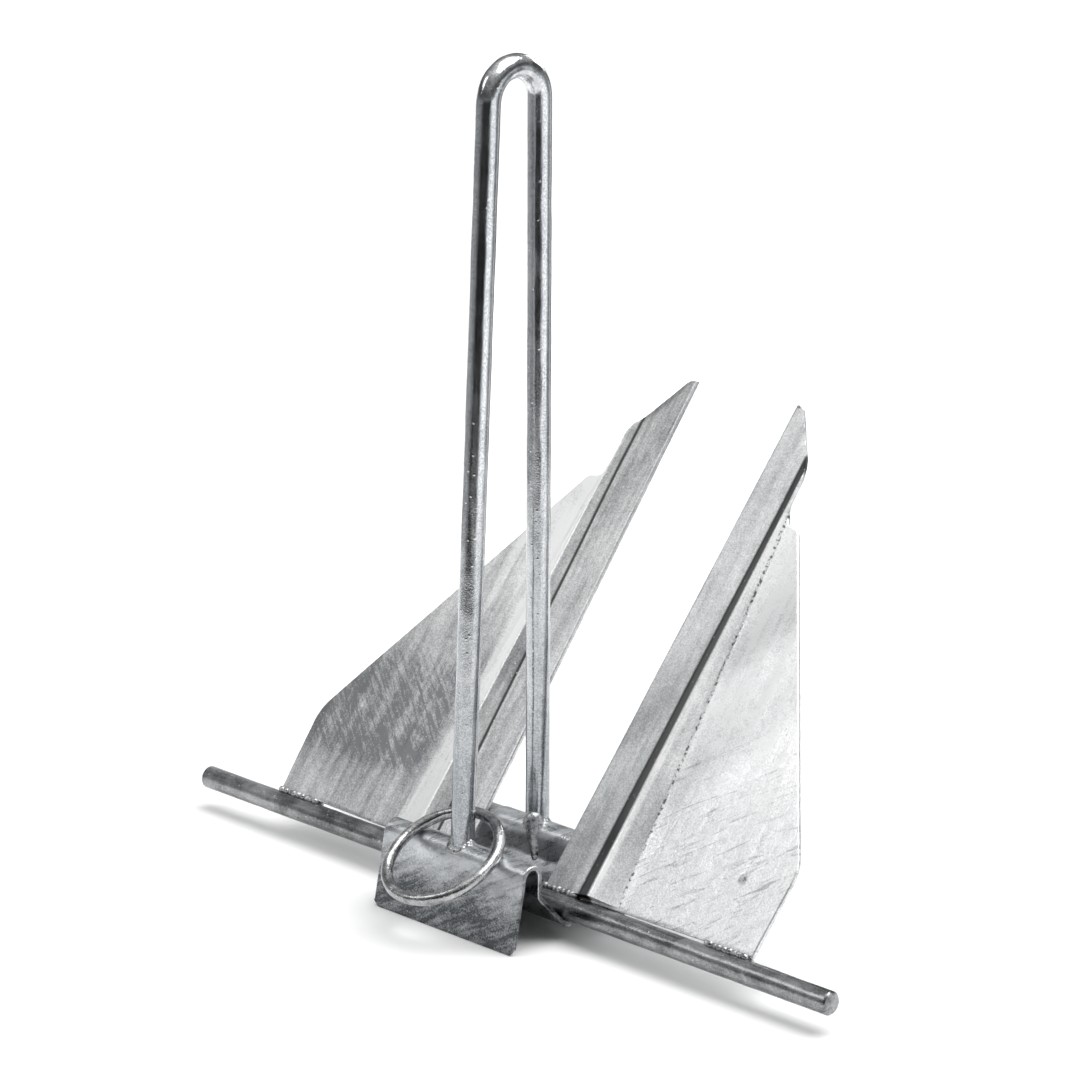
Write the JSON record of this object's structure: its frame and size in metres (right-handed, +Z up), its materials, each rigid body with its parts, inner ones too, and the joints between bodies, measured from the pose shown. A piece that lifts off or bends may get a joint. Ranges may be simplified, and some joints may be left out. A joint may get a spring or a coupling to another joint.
{
  "type": "fluke anchor",
  "caption": "Galvanised fluke anchor: a hairpin bar shank stands on a folded crown, wide pressed flukes swing on the stock lying in it, and a slip ring slides along the shank.",
  "frame": {"origin": "middle of the bounding box in X and Y, at the palms' lower edges, where the anchor stands", "axes": "+X along the stock, +Y towards the side the flukes lean to, +Z up the shank"},
  "size_m": [0.59, 0.3181, 0.5724],
  "materials": {
    "galvanised_bar": "hot-dip zinc on round bar, drawn streaks and runs",
    "galvanised_sheet": "hot-dip zinc on pressed sheet, fine spangle and wipe marks",
    "galvanised_wire": "hot-dip zinc on wire, slightly lumpy",
    "galvanised_weld": "rough weld bead under zinc"
  },
  "bodies": {
    "shank_and_crown": {"shank": "galvanised_bar", "crown": "galvanised_sheet", "near_shank_weld": "galvanised_weld", "far_shank_weld": "galvanised_weld"},
    "flukes": {"stock": "galvanised_bar", "right_fluke": "galvanised_sheet", "left_fluke": "galvanised_sheet", "right_inner_weld": "galvanised_weld", "right_outer_weld": "galvanised_weld", "left_inner_weld": "galvanised_weld", "left_outer_weld": "galvanised_weld"},
    "ring": {"slip_ring": "galvanised_wire"}
  },
  "joints": [
    {"name": "fluke_swing", "type": "hinge", "parent": "shank_and_crown", "child": "flukes", "pos_m": [0, -0.06855, 0.021], "axis": [1, 0, 0], "range_deg": [0, 74.6]},
    {"name": "ring_slide", "type": "slide", "parent": "shank_and_crown", "child": "ring", "axis": [0, 0.0244, 0.9997], "range_m": [0, 0.44]}
  ]
}
